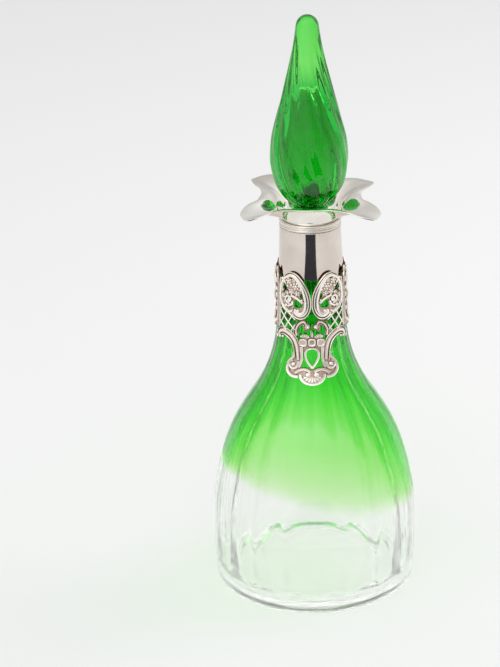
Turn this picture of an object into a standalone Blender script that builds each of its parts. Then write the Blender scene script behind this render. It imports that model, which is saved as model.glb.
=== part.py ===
"""A silver-mounted glass decanter with a ground glass stopper.

Frame: metres, +Z up, origin on the table at the middle of the foot, front towards -Y.
The bottle stands on its foot ring. The stopper sits in the ground neck, and its empty
lies on the neck's axis, along which it lifts.
"""
import math

import bmesh
import bpy
from mathutils import Matrix

MM = 0.001

# Driving dimensions: the bottle
FOOT_RADIUS = 50.5 * MM
FOOT_RING_WIDTH = 8 * MM
PUNT_DEPTH = 1.6 * MM
BASE_THICKNESS = 3 * MM
WALL = 3.7 * MM
MOUTH_Z = 203 * MM
FLUTES = 18
FLUTE_DEPTH = 0.4 * MM

# Driving dimensions: the ground joint and the stopper
PLUG_LENGTH = 25 * MM
PLUG_TOP_RADIUS = 8.75 * MM
PLUG_END_RADIUS = 7.8 * MM
JOINT_GAP = 0.3 * MM
PLUG_END_Z = MOUTH_Z + 0.6 * MM - PLUG_LENGTH
COLLAR_RADIUS = 9.2 * MM
COLLAR_LENGTH = 8.4 * MM
CREASE_RADIUS = 8.4 * MM
BULB_RADIUS = 19.6 * MM
BULB_RISE = 25.5 * MM
STOPPER_LENGTH = 133 * MM
TIP_RADIUS = 5.8 * MM
STOPPER_FLUTES = 14
STOPPER_FLUTE_DEPTH = 0.45 * MM
STOPPER_TWIST = math.radians(75)

# Driving dimensions: the silver mount
GAP = 0.3 * MM
SILVER = 0.6 * MM
SLEEVE_TOP_Z = 202 * MM
SLEEVE_BOTTOM_Z = 176.5 * MM
SLEEVE_TOP_RADIUS = 16 * MM
SLEEVE_FLARE = 0.0375
RING_HEIGHT = 3.4 * MM
LIP_SHEET = 0.8 * MM
LIP_ROOT_RADIUS = 15 * MM
LIP_ROOT_Z = 206.6 * MM
LIP_DROOP = 1.5 * MM
APRON_SHEET = 1.15 * MM
APRON_UNROLL_RADIUS = 19 * MM
APRON_CLEARANCE = 0.45 * MM

# How finely round pieces are faceted
BOTTLE_SEGMENTS = 4 * FLUTES
STOPPER_SEGMENTS = 3 * STOPPER_FLUTES
MOUNT_SEGMENTS = 36
LIP_SEGMENTS = 72

COLLECTION_NAME = "silver_mounted_decanter"


# Scene and material helpers

def clear_scene():
    for obj in list(bpy.data.objects):
        bpy.data.objects.remove(obj, do_unlink=True)


def make_collection():
    collection = bpy.data.collections.new(COLLECTION_NAME)
    bpy.context.scene.collection.children.link(collection)
    return collection


def make_material(name, colour, roughness, metallic=0.0, transmission=0.0):
    material = bpy.data.materials.new(name)
    material.use_nodes = True
    shader = material.node_tree.nodes["Principled BSDF"]
    shader.inputs["Base Color"].default_value = (*colour, 1.0)
    shader.inputs["Roughness"].default_value = roughness
    shader.inputs["Metallic"].default_value = metallic
    shader.inputs["Transmission Weight"].default_value = transmission
    return material


def add_object(name, mesh, material, collection):
    obj = bpy.data.objects.new(name, mesh)
    mesh.materials.clear()
    mesh.materials.append(material)
    collection.objects.link(obj)
    return obj


def evaluated_mesh(obj):
    """A plain mesh copy of an object with its modifiers or curve settings applied."""
    graph = bpy.context.evaluated_depsgraph_get()
    return bpy.data.meshes.new_from_object(obj.evaluated_get(graph))


def shade(mesh, angle=math.radians(35)):
    mesh.shade_smooth()
    mesh.set_sharp_from_angle(angle=angle)


# Profiles: lists of (radius, height)

def interpolate(points, value):
    """Straight-line lookup through (key, result) points in rising order of key."""
    if value <= points[0][0]:
        return points[0][1]
    for (key0, result0), (key1, result1) in zip(points, points[1:]):
        if value <= key1:
            return result0 + (result1 - result0) * (value - key0) / (key1 - key0)
    return points[-1][1]


BODY_SHAPE = [(z * MM, r * MM) for z, r in (
    (2.4, 54.2), (24, 55), (46, 54.5), (64, 51.7), (78, 48.0), (91, 42.9), (103, 35.9),
    (113, 29.4), (122, 24.8), (131, 21.4), (140, 19.3), (150, 18.2), (177, 15.6), (203, 13.8))]


def bottle_radius(z):
    """Outer radius of the glass at a height, without its flutes."""
    return interpolate(BODY_SHAPE, z)


def bottle_profile():
    inner_floor = PUNT_DEPTH + BASE_THICKNESS
    plug_slope = (PLUG_TOP_RADIUS - PLUG_END_RADIUS) / PLUG_LENGTH
    bore_bottom = PLUG_END_Z - 1.0 * MM
    bore_low = PLUG_END_RADIUS + JOINT_GAP - plug_slope * MM
    bore_high = PLUG_TOP_RADIUS + JOINT_GAP
    inner = [(0.0, inner_floor), (42 * MM, inner_floor), (47.6 * MM, inner_floor + 1.9 * MM),
             (50.2 * MM, inner_floor + 7.9 * MM)]
    for z, r in BODY_SHAPE[1:11]:
        inner.append((r - WALL, z))
    inner += [(13.6 * MM, 152 * MM), (bore_low + 0.6 * MM, 173 * MM),
              (bore_low, bore_bottom), (bore_high, MOUTH_Z - 0.4 * MM),
              (bore_high + 0.4 * MM, MOUTH_Z)]
    outer = [(r, z) for z, r in reversed(BODY_SHAPE)]
    outer[0] = (outer[0][0] - 0.4 * MM, MOUTH_Z)
    foot = [(53 * MM, 0.6 * MM), (FOOT_RADIUS, 0.0), (FOOT_RADIUS - FOOT_RING_WIDTH, 0.0),
            (0.0, PUNT_DEPTH)]
    return inner + outer + foot


def stopper_profile():
    top = PLUG_END_Z + STOPPER_LENGTH
    collar_z = PLUG_END_Z + PLUG_LENGTH
    crease_z = collar_z + COLLAR_LENGTH
    bulb_z = crease_z + BULB_RISE
    cone_z = bulb_z + 35 * MM
    outer = [(0.0, top)]
    for step in range(1, 3):
        angle = step * math.radians(38)
        outer.append((TIP_RADIUS * math.sin(angle), top - TIP_RADIUS * (1 - math.cos(angle))))
    outer += [(8.6 * MM, cone_z + 16 * MM), (12.6 * MM, cone_z), (16.6 * MM, bulb_z + 20 * MM),
              (19.1 * MM, bulb_z + 9 * MM), (BULB_RADIUS, bulb_z), (18.0 * MM, bulb_z - 11 * MM),
              (13.8 * MM, bulb_z - 19 * MM), (CREASE_RADIUS, crease_z + 0.8 * MM),
              (COLLAR_RADIUS, crease_z - 1.6 * MM), (COLLAR_RADIUS, collar_z + 1.6 * MM),
              (PLUG_TOP_RADIUS, collar_z), (PLUG_END_RADIUS, PLUG_END_Z)]
    cavity = [(4.0 * MM, PLUG_END_Z), (4.2 * MM, crease_z - 2 * MM), (9.4 * MM, crease_z + 7 * MM),
              (15.0 * MM, bulb_z - 7 * MM), (15.6 * MM, bulb_z + 5 * MM),
              (10.2 * MM, bulb_z + 25 * MM), (0.0, bulb_z + 38 * MM)]
    return outer + cavity


def sleeve_radius(z):
    return SLEEVE_TOP_RADIUS + (SLEEVE_TOP_Z - z) * SLEEVE_FLARE


def sleeve_profile():
    top, bottom = SLEEVE_TOP_Z, SLEEVE_BOTTOM_Z
    return [(sleeve_radius(top) - SILVER, top), (sleeve_radius(top), top),
            (sleeve_radius(bottom), bottom), (sleeve_radius(bottom) - SILVER, bottom)]


def bedding_profile():
    top = SLEEVE_TOP_Z - 0.2 * MM
    bottom = 181 * MM
    outer = [(sleeve_radius(z) - SILVER - GAP, z) for z in (top, bottom)]
    inner = [(bottle_radius(z) + GAP, z) for z in (bottom, top)]
    return outer + inner


def ring_profile():
    """A small waisted moulding between the sleeve and the lip, listed down the outer side."""
    bottom = SLEEVE_TOP_Z + GAP
    top = bottom + RING_HEIGHT
    inner = 15.0 * MM
    return [(inner, top), (16.3 * MM, top), (16.3 * MM, top - 1.2 * MM),
            (15.9 * MM, bottom + 1.2 * MM), (16.3 * MM, bottom), (inner, bottom)]


# The lip's rim, all the way round. Four drawn lobes point to the corners, the two at the back
# a little larger and higher, and the rim is pinched in between them.

LIP_RIM = (  # degrees round from the front (right positive), reach, height of the rim
    (-180, 22.8, 216.0), (-169, 25.4, 216.4), (-162, 33.0, 216.8), (-156, 39.5, 216.9),
    (-150, 42.5, 216.8), (-143, 43.8, 216.4), (-136, 43.6, 216.2), (-130, 39.0, 216.3),
    (-118, 29.0, 216.4), (-103, 25.8, 216.0), (-90, 26.6, 215.4), (-79, 32.2, 214.8),
    (-70, 37.0, 213.8), (-62, 40.0, 212.9), (-54, 40.6, 212.2), (-49, 36.0, 213.2),
    (-45, 28.6, 214.6), (-39, 23.4, 215.0), (-20, 19.8, 215.0), (0, 19.2, 215.0),
    (25, 20.4, 215.0), (36, 24.4, 215.0), (42, 29.6, 214.6), (47, 37.6, 213.1),
    (53, 42.2, 212.2), (60, 41.4, 212.9), (69, 37.4, 213.9), (78, 31.6, 214.9),
    (86, 27.0, 215.6), (96, 26.5, 216.2), (108, 29.8, 216.7), (117, 36.0, 216.5),
    (125, 40.8, 216.2), (132, 40.0, 216.2), (140, 38.0, 216.5), (147, 34.6, 216.6),
    (153, 28.6, 216.5), (160, 24.2, 216.2), (168, 22.6, 216.0), (180, 22.8, 216.0))


def lip_profile():
    """The lip's sheet, from its rim in to its throat. Outside the root, radius is a share of reach."""
    flare = [(LIP_ROOT_RADIUS * (1 + share), LIP_ROOT_Z) for share in (1.0, 0.82, 0.62, 0.42, 0.22, 0.08)]
    throat = [(r * MM, z * MM) for r, z in ((14.6, 206.0), (14.0, 205.2), (13.0, 204.3), (10.4, 204.0))]
    return flare + throat


# Turned pieces

def turned_mesh(name, profile, segments, closed, collection):
    """A profile swept once around the Z axis by a Screw modifier, as a plain mesh."""
    mesh = bpy.data.meshes.new(name + "_profile")
    count = len(profile)
    edges = [(i, i + 1) for i in range(count - 1)]
    if closed:
        edges.append((count - 1, 0))
    mesh.from_pydata([(r, 0.0, z) for r, z in profile], edges, [])
    guide = bpy.data.objects.new(name + "_guide", mesh)
    collection.objects.link(guide)
    screw = guide.modifiers.new("turn", "SCREW")
    screw.steps = segments
    screw.render_steps = segments
    screw.use_merge_vertices = True
    screw.merge_threshold = 0.00001
    turned = evaluated_mesh(guide)
    bpy.data.objects.remove(guide, do_unlink=True)
    return turned


def reshape(mesh, rule):
    """Move each vertex by a rule on its (radius, angle, height)."""
    for vertex in mesh.vertices:
        x, y, z = vertex.co
        radius = math.hypot(x, y)
        angle = math.atan2(y, x)
        radius, angle, z = rule(radius, angle, z)
        vertex.co = (radius * math.cos(angle), radius * math.sin(angle), z)


def bottle_flutes(radius, angle, z):
    low = min(1.0, max(0.0, (z - 7 * MM) / (14 * MM)))
    high = min(1.0, max(0.0, (150 * MM - z) / (40 * MM)))
    return radius + FLUTE_DEPTH * low * high * math.cos(FLUTES * angle), angle, z


def stopper_flutes(radius, angle, z):
    crease_z = PLUG_END_Z + PLUG_LENGTH + COLLAR_LENGTH
    top = PLUG_END_Z + STOPPER_LENGTH
    share = (z - crease_z) / (top - crease_z)
    outside = radius > interpolate([(crease_z, 7 * MM), (crease_z + 5 * MM, 9.5 * MM),
                                    (crease_z + 12 * MM, 14.5 * MM), (crease_z + 34 * MM, 16.5 * MM),
                                    (crease_z + 61 * MM, 9 * MM), (top, 4 * MM)], z)
    if share <= 0.0 or not outside:
        return radius, angle, z
    fade = math.sin(math.pi * min(1.0, share * 1.15)) if share < 0.87 else 0.0
    flute = math.cos(STOPPER_FLUTES * angle)
    return radius + STOPPER_FLUTE_DEPTH * fade * flute, angle + STOPPER_TWIST * share, z


def lip_waves(radius, angle, z):
    """Carries each point of the flare along its own curve, out and up to the rim."""
    share = radius / LIP_ROOT_RADIUS - 1
    if share <= 0.0:
        return radius, angle, z
    from_front = math.degrees(math.atan2(math.cos(angle), -math.sin(angle)))
    reach = interpolate([(degrees, r * MM) for degrees, r, _ in LIP_RIM], from_front)
    height = interpolate([(degrees, rim_z * MM) for degrees, _, rim_z in LIP_RIM], from_front)
    radius = LIP_ROOT_RADIUS + (reach - LIP_ROOT_RADIUS) * share ** 1.25
    rise = (height + LIP_DROOP - LIP_ROOT_Z) * (1 - (1 - share) ** 2)
    return radius, angle, LIP_ROOT_Z + rise - LIP_DROOP * share ** 4


def add_bottle(material, collection):
    mesh = turned_mesh("glass_bottle", bottle_profile(), BOTTLE_SEGMENTS, False, collection)
    reshape(mesh, bottle_flutes)
    shade(mesh)
    return add_object("glass_bottle", mesh, material, collection)


def add_stopper(material, collection):
    """The stopper's origin is its empty, on the lift axis at the neck's mouth."""
    mesh = turned_mesh("stopper", stopper_profile(), STOPPER_SEGMENTS, False, collection)
    reshape(mesh, stopper_flutes)
    shade(mesh)
    seat = bpy.data.objects.new("stopper_seat", None)
    seat.location = (0.0, 0.0, MOUTH_Z)
    collection.objects.link(seat)
    mesh.transform(Matrix.Translation((0.0, 0.0, -MOUTH_Z)))
    stopper = add_object("stopper", mesh, material, collection)
    stopper.parent = seat
    return stopper


def add_turned_ring(name, profile, material, collection):
    mesh = turned_mesh(name, profile, MOUNT_SEGMENTS, True, collection)
    shade(mesh)
    return add_object(name, mesh, material, collection)


def add_lip(material, collection):
    mesh = turned_mesh("lip", lip_profile(), LIP_SEGMENTS, False, collection)
    reshape(mesh, lip_waves)
    lip = add_object("lip", mesh, material, collection)
    sheet = lip.modifiers.new("sheet", "SOLIDIFY")
    sheet.thickness = LIP_SHEET
    sheet.offset = 0.0
    sheet.use_even_offset = True
    shade(mesh)
    return lip


# The pierced apron: flat outlines in millimetres, (along the wrap, height), bent round the neck.
# Each list is the right half of an outline, or one hole on the right, and is mirrored.

PENDANT_EDGE = [
    (0, 171), (2.2, 176), (5.5, 180), (10, 181.4), (14, 179.8), (16.8, 176.8), (19.4, 176),
    (19.4, 163), (19.4, 150.4), (21, 148), (21.6, 145.2), (20, 143.2), (17.4, 143.4), (15, 144.4),
    (12.6, 142.6), (10.9, 139.6), (10.3, 136.4), (11.4, 133.8), (13, 131.6), (12.8, 128.4),
    (10.8, 126), (8, 125), (6, 125.4), (4.4, 123.2), (2.2, 122.1), (0, 121.9)]
PENDANT_MIDDLE_HOLES = [
    [(0, 160.4), (3.2, 156.6), (1.6, 154.8), (0, 153.2)],
    [(0, 140.4), (2.3, 138.6), (2.6, 136.2), (1.6, 133.6), (0, 131.6)]]
PENDANT_SIDE_HOLES = [
    [(4.0, 164.2), (6.0, 166.4), (8.6, 164.4), (7.6, 161.6), (5.2, 161.2)],
    [(13.2, 172.0), (15.4, 172.4), (16, 170.2), (14.2, 168.6)],
    [(1.9, 149.8), (4.2, 150.4), (6.2, 149.4), (5.6, 147.0), (2.2, 147.2)],
    [(4.6, 137.6), (6.2, 138.4), (6.2, 132.6), (4.4, 131.2), (2.9, 131.8)],
    [(10.6, 154.6), (13.0, 156.8), (15.0, 154.6), (12.8, 152.2)],
    [(14.4, 158.4), (16.2, 160.4), (18.0, 158.4), (16.2, 156.0)],
    [(15.4, 151.6), (17.0, 153.6), (18.4, 151.8), (17.2, 150.6)]]
SIDE_EDGE = [
    (0, 180), (2.6, 180.6), (4.4, 182.4), (5.4, 179), (7.6, 176.4), (9.3, 175.6), (9.3, 163),
    (9.3, 152.2), (7.2, 151), (6.4, 148.6), (4.2, 147), (0, 147.4)]
SIDE_MIDDLE_HOLES = [
    [(0, 176.4), (2.4, 174.6), (3.0, 170.6), (2.0, 167), (0, 165.2)],
    [(0, 160.6), (2.2, 158.2), (2.4, 154.8), (1.4, 152.6), (0, 151.8)]]
SIDE_SIDE_HOLES = [
    [(4.6, 169.6), (6.6, 171.4), (7.6, 168), (6.2, 165.2)],
    [(4.4, 158.2), (6.4, 161), (7.4, 158), (6, 155)]]
BEND_STEP = 4.4 * MM
HEIGHT_STEP = 9 * MM
APRON_NECK_LINE = [(z * MM, r * MM) for z, r in (
    (120, 18.8), (150, 18.8), (156, 18.45), (165, 18.3), (174, 18.1), (182, 17.4))]


def mirrored_outline(half):
    return list(half) + [(-u, v) for u, v in reversed(half) if u != 0]


def apron_radius(z):
    """Inner radius of the pierced sheet: clear of the sleeve above and the glass below."""
    return max(interpolate(APRON_NECK_LINE, z), bottle_radius(z) + FLUTE_DEPTH + APRON_CLEARANCE)


def pierced_sheet(name, edge, middle_holes, side_holes, collection):
    """A flat pierced plate, from a filled 2D curve: its holes are splines inside the edge."""
    curve = bpy.data.curves.new(name, "CURVE")
    curve.dimensions = "2D"
    curve.fill_mode = "BOTH"
    curve.extrude = APRON_SHEET / 2
    outlines = [mirrored_outline(edge)]
    outlines += [mirrored_outline(hole) for hole in middle_holes]
    outlines += [hole for hole in side_holes]
    outlines += [[(-u, v) for u, v in hole] for hole in side_holes]
    for outline in outlines:
        spline = curve.splines.new("POLY")
        spline.points.add(len(outline) - 1)
        spline.use_cyclic_u = True
        for point, (u, v) in zip(spline.points, outline):
            point.co = (u * MM, v * MM, 0.0, 1.0)
    guide = bpy.data.objects.new(name + "_flat", curve)
    collection.objects.link(guide)
    flat = evaluated_mesh(guide)
    bpy.data.objects.remove(guide, do_unlink=True)
    return flat


def cut_for_bending(sheet):
    """Lines across and along the plate, so that its flat faces can follow the curve."""
    def cut(along, place):
        normal = (1.0, 0.0, 0.0) if along == 0 else (0.0, 1.0, 0.0)
        origin = tuple(place * component for component in normal)
        everything = sheet.verts[:] + sheet.edges[:] + sheet.faces[:]
        bmesh.ops.bisect_plane(sheet, geom=everything, dist=0.00001, plane_co=origin, plane_no=normal)

    widths = [vertex.co.x for vertex in sheet.verts]
    heights = [vertex.co.y for vertex in sheet.verts]
    for along, values, step in ((0, widths, BEND_STEP), (1, heights, HEIGHT_STEP)):
        place = (math.floor(min(values) / step) + 0.5) * step
        while place < max(values):
            if place > min(values):
                cut(along, place)
            place += step


def add_apron_panel(name, outlines, facing, material, collection):
    """A pierced plate bent round the neck, centred on the direction it faces."""
    mesh = pierced_sheet(name, *outlines, collection)
    sheet = bmesh.new()
    sheet.from_mesh(mesh)
    bmesh.ops.remove_doubles(sheet, verts=sheet.verts, dist=0.00001)
    cut_for_bending(sheet)
    bmesh.ops.triangulate(sheet, faces=sheet.faces)
    for vertex in sheet.verts:
        wrap, height, depth = vertex.co
        angle = facing + wrap / APRON_UNROLL_RADIUS
        radius = apron_radius(height) + APRON_SHEET / 2 + depth
        vertex.co = (radius * math.cos(angle), radius * math.sin(angle), height)
    if sheet.calc_volume(signed=True) < 0.0:
        bmesh.ops.reverse_faces(sheet, faces=sheet.faces)
    sheet.to_mesh(mesh)
    sheet.free()
    shade(mesh)
    return add_object(name, mesh, material, collection)


def main():
    clear_scene()
    collection = make_collection()
    tinted_glass = make_material("tinted_glass", (0.16, 0.72, 0.20), 0.03, transmission=1.0)
    stopper_glass = make_material("stopper_glass", (0.05, 0.60, 0.12), 0.03, transmission=1.0)
    silver = make_material("polished_silver", (0.86, 0.82, 0.78), 0.12, metallic=1.0)
    pierced_silver = make_material("pierced_silver", (0.80, 0.74, 0.70), 0.28, metallic=1.0)
    plaster = make_material("plaster", (0.86, 0.84, 0.79), 0.9)

    add_bottle(tinted_glass, collection)
    add_stopper(stopper_glass, collection)
    add_turned_ring("neck_bedding", bedding_profile(), plaster, collection)
    add_turned_ring("neck_sleeve", sleeve_profile(), silver, collection)
    add_turned_ring("lip_ring", ring_profile(), silver, collection)
    add_lip(silver, collection)

    pendant = (PENDANT_EDGE, PENDANT_MIDDLE_HOLES, PENDANT_SIDE_HOLES)
    side = (SIDE_EDGE, SIDE_MIDDLE_HOLES, SIDE_SIDE_HOLES)
    quarter = math.pi / 2
    for name, outlines, facing in (
            ("pierced_panel_front", pendant, -quarter), ("pierced_panel_back", pendant, quarter),
            ("pierced_side_right", side, 0.0), ("pierced_side_left", side, math.pi)):
        add_apron_panel(name, outlines, facing, pierced_silver, collection)


main()
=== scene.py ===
"""Looks for a silver-mounted glass decanter: fine glass, chased silver, light and camera."""

import math
import random

import bmesh
import bpy
from mathutils import Matrix, Vector


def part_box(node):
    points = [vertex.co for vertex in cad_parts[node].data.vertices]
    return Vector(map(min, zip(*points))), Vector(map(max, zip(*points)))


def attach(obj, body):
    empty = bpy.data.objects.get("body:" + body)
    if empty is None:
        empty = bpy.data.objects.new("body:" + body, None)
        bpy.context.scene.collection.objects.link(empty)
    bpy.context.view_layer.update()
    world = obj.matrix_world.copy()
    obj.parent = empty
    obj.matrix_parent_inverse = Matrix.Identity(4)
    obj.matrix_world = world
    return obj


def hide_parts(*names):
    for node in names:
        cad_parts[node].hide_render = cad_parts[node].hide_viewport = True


MM = 0.001
TAU = 2 * math.pi

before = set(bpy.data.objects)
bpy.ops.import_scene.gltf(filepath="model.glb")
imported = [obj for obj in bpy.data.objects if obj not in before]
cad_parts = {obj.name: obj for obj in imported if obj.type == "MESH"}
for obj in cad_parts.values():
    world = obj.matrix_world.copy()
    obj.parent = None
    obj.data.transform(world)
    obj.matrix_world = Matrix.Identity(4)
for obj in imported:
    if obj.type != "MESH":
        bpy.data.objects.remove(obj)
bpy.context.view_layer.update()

# Places from the frame
MOUTH_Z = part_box("glass_bottle")[1].z
SLEEVE_BOTTOM_Z, SLEEVE_TOP_Z = (corner.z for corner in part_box("neck_sleeve"))
RING_BOTTOM_Z, RING_TOP_Z = (corner.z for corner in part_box("lip_ring"))
PLUG_END_Z, STOPPER_TOP_Z = (corner.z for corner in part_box("stopper"))

# Glass sizes
FLUTES = 18
OUTER_FLUTE = 0.42 * MM
INNER_FLUTE = 1.2 * MM
FOOT_RADIUS = 50.5 * MM
FOOT_RING_WIDTH = 8 * MM
PUNT_DEPTH = 1.6 * MM
BASE_THICKNESS = 3 * MM
BOTTLE_SEGMENTS = FLUTES * 16
PLUG_LENGTH = 25 * MM
PLUG_TOP_RADIUS = 8.75 * MM
PLUG_END_RADIUS = 7.8 * MM
JOINT_GAP = 0.3 * MM
COLLAR_RADIUS = 9.2 * MM
COLLAR_LENGTH = 8.4 * MM
CREASE_RADIUS = 8.4 * MM
TIP_RADIUS = 5.8 * MM
STOPPER_FLUTES = 14
STOPPER_FLUTE = 0.75 * MM
STOPPER_TWIST = math.radians(75)

# Silver sizes
SLEEVE_TOP_RADIUS = 16 * MM
SLEEVE_FLARE = 0.0375
SILVER = 0.6 * MM
HAND_FINISH = 0.035 * MM
LIP_SHEET = 0.7 * MM
LIP_ROOT_RADIUS = 15 * MM
LIP_ROOT_Z = 206.6 * MM
LIP_DROOP = 1.5 * MM
UNROLL_RADIUS = 19 * MM
APRON_CLEARANCE = 0.9 * MM
APRON_BACK = 0.1 * MM

# Glass tints: (share of the height, colour), and how light behaves in the walls
TINT_LOW_Z = 59.5 * MM
TINT_SPAN = 150 * MM
TINT_TILT = 0.22
TINT_WANDER = 9 * MM
LEFT_PAINTED_SHADE = 9.0  # per metre: painted shade, the edge tint deepens more towards the left (-X) side, away from the key light
BOTTLE_TINTS = (
    (0, (0.993, 0.997, 0.993)), (0.055, (0.68, 0.95, 0.55)), (0.12, (0.52, 0.93, 0.37)),
    (0.21, (0.36, 0.90, 0.23)), (0.45, (0.22, 0.86, 0.17)), (0.72, (0.10, 0.74, 0.13)))
STOPPER_TINTS = (
    (0, (0.17, 0.78, 0.20)), (0.18, (0.16, 0.80, 0.18)), (0.26, (0.03, 0.66, 0.07)),
    (0.70, (0.015, 0.56, 0.05)), (0.80, (0.20, 0.86, 0.14)), (1, (0.12, 0.80, 0.10)))
BOTTLE_EDGE_DEPTH = 26.0
STOPPER_EDGE_DEPTH = 2.4
BOTTLE_IOR = 1.46
STOPPER_IOR = 1.5
GROUND_ROUGHNESS = 0.42
SHADOW_TINT_GAMMA = 0.24
SHADOW_CLEARNESS = 0.97
# painted glow: the tone that deep rays inside the glass return in place of light, pale in the
# bottle and dark green in the stopper
LOST_RAY_DEPTH = 7.5
BOTTLE_PAINTED_GLOW = (0.95, 0.97, 0.94)
STOPPER_PAINTED_GLOW = (0.01, 0.10, 0.015)

# Silver tones, dark and light
SLEEVE_TONES = ((0.66, 0.575, 0.52), (0.80, 0.73, 0.67))
LIP_TONES = ((0.78, 0.72, 0.66), (0.96, 0.94, 0.89))
# how far the painted shade of ambient occlusion reaches into crevices
PAINTED_SHADE_REACH = 1.1 * MM
CHASING_TONES = (
    (0.05, (0.13, 0.065, 0.05)), (0.26, (0.42, 0.27, 0.22)), (0.46, (0.79, 0.65, 0.565)),
    (0.67, (1, 0.955, 0.88)))


# Curves and lookups

def lookup(points, value):
    """Smooth lookup through (position, value) points: cubic, with no overshoot."""
    xs = [p[0] for p in points]
    ys = [p[1] for p in points]
    if value <= xs[0]:
        return ys[0]
    if value >= xs[-1]:
        return ys[-1]
    slopes = [(ys[i + 1] - ys[i]) / (xs[i + 1] - xs[i]) for i in range(len(xs) - 1)]

    def tangent(i):
        if i == 0:
            return slopes[0]
        if i == len(xs) - 1:
            return slopes[-1]
        before, after = slopes[i - 1], slopes[i]
        if before * after <= 0:
            return 0.0
        return 2 * before * after / (before + after)

    i = max(k for k in range(len(xs) - 1) if xs[k] <= value)
    width = xs[i + 1] - xs[i]
    t = (value - xs[i]) / width
    h00 = (1 + 2 * t) * (1 - t) ** 2
    h10 = t * (1 - t) ** 2
    h01 = t * t * (3 - 2 * t)
    h11 = t * t * (t - 1)
    return (h00 * ys[i] + h10 * width * tangent(i)
            + h01 * ys[i + 1] + h11 * width * tangent(i + 1))


def curve_through(points, per_span=8):
    """A Catmull-Rom curve through 2D points."""
    result = []
    count = len(points)
    for i in range(count - 1):
        p0 = points[max(i - 1, 0)]
        p1 = points[i]
        p2 = points[i + 1]
        p3 = points[min(i + 2, count - 1)]
        for step in range(per_span):
            t = step / per_span
            result.append(tuple(
                0.5 * (2 * b + (c - a) * t + (2 * a - 5 * b + 4 * c - d) * t * t
                       + (3 * b - a - 3 * c + d) * t ** 3)
                for a, b, c, d in zip(p0, p1, p2, p3)))
    result.append(points[-1])
    return result


def in_mm(points, lift=0.0):
    """Points given in millimetres, with the second numbers above a base."""
    return [(a * MM, lift + b * MM) for a, b in points]


def smoothstep(low, high, value):
    t = min(1.0, max(0.0, (value - low) / (high - low)))
    return t * t * (3 - 2 * t)


# Object helpers

def new_object(name, mesh, material):
    obj = bpy.data.objects.new(name, mesh)
    bpy.context.scene.collection.objects.link(obj)
    mesh.materials.append(material)
    return obj


def stand_for(obj, node, body="bottle"):
    """Puts a visible piece in the place of a CAD node, on its body."""
    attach(obj, body)
    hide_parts(node)


def put_piece(name, mesh, material, sharp_degrees, node, body="bottle"):
    mesh.set_sharp_from_angle(angle=math.radians(sharp_degrees))
    stand_for(new_object(name, mesh, material), node, body)


def apply_modifiers(obj):
    graph = bpy.context.evaluated_depsgraph_get()
    mesh = bpy.data.meshes.new_from_object(obj.evaluated_get(graph))
    obj.modifiers.clear()
    old = obj.data
    obj.data = mesh
    bpy.data.meshes.remove(old)


def lathe(name, profile, segments, rule=None, closed=False):
    """A profile of (radius, height) swept round Z. The rule gives each point its place."""
    mesh = bpy.data.meshes.new(name)
    work = bmesh.new()
    rings = []
    for index, (radius, height) in enumerate(profile):
        if radius < 1e-6:
            rings.append([work.verts.new((0.0, 0.0, height))])
            continue
        ring = []
        for step in range(segments):
            angle = TAU * step / segments
            r, a, z = radius, angle, height
            if rule is not None:
                r, a, z = rule(index, r, a, z)
            ring.append(work.verts.new((r * math.cos(a), r * math.sin(a), z)))
        rings.append(ring)
    pairs = list(zip(rings, rings[1:]))
    if closed:
        pairs.append((rings[-1], rings[0]))
    for first, second in pairs:
        for step in range(segments):
            after = (step + 1) % segments
            if len(first) == 1:
                work.faces.new((first[0], second[step], second[after]))
            elif len(second) == 1:
                work.faces.new((first[step], second[0], first[after]))
            else:
                work.faces.new((first[step], second[step], second[after], first[after]))
    if work.calc_volume(signed=True) < 0:
        bmesh.ops.reverse_faces(work, faces=work.faces)
    work.to_mesh(mesh)
    work.free()
    mesh.shade_smooth()
    return mesh


# Materials

def set_input(tree, socket, value):
    if isinstance(value, bpy.types.NodeSocket):
        tree.links.new(value, socket)
    else:
        socket.default_value = value


def feed(tree, node, **inputs):
    """Link or set the node's inputs by name."""
    for name, value in inputs.items():
        set_input(tree, node.inputs[name.replace("_", " ")], value)


def add_node(tree, kind, operation=None, **inputs):
    node = tree.nodes.new("ShaderNode" + kind)
    if operation is not None:
        node.operation = operation
    feed(tree, node, **inputs)
    return node


def material_tree(name):
    material = bpy.data.materials.new(name)
    material.use_nodes = True
    tree = material.node_tree
    return material, tree, tree.nodes["Principled BSDF"]


def object_position(tree):
    return add_node(tree, "TexCoord").outputs["Object"]


def split_vector(tree, vector):
    return add_node(tree, "SeparateXYZ", Vector=vector).outputs


def noise_texture(tree, vector, scale, detail=3.0, roughness=0.5):
    return add_node(tree, "TexNoise", Vector=vector, Scale=scale, Detail=detail,
                    Roughness=roughness).outputs["Fac"]


def map_range(tree, value, **limits):
    return add_node(tree, "MapRange", Value=value, **limits).outputs["Result"]


def ramp(tree, factor, stops):
    """A colour for a value, through (position, colour) stops."""
    node = add_node(tree, "ValToRGB", Fac=factor)
    elements = node.color_ramp.elements
    while len(elements) < len(stops):
        elements.new(0.5)
    for element, (position, colour) in zip(elements, stops):
        element.position = position
        element.color = (*colour, 1.0)
    return node.outputs["Color"]


def put_in(tree, node, values):
    """Link or set the node's inputs in order, where they share a name."""
    for socket, value in zip(node.inputs, values):
        set_input(tree, socket, value)
    return node


def math_node(tree, operation, first, second):
    return put_in(tree, add_node(tree, "Math", operation), (first, second)).outputs[0]


def scaled(tree, value, factor, offset):
    """The value times a factor, plus an offset."""
    return math_node(tree, "ADD", math_node(tree, "MULTIPLY", value, factor), offset)


def vector_node(tree, operation, first, second):
    return put_in(tree, add_node(tree, "VectorMath", operation), (first, second)).outputs


def bump(tree, height, strength, distance):
    return add_node(tree, "Bump", Strength=strength, Distance=distance,
                    Height=height).outputs["Normal"]


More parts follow.
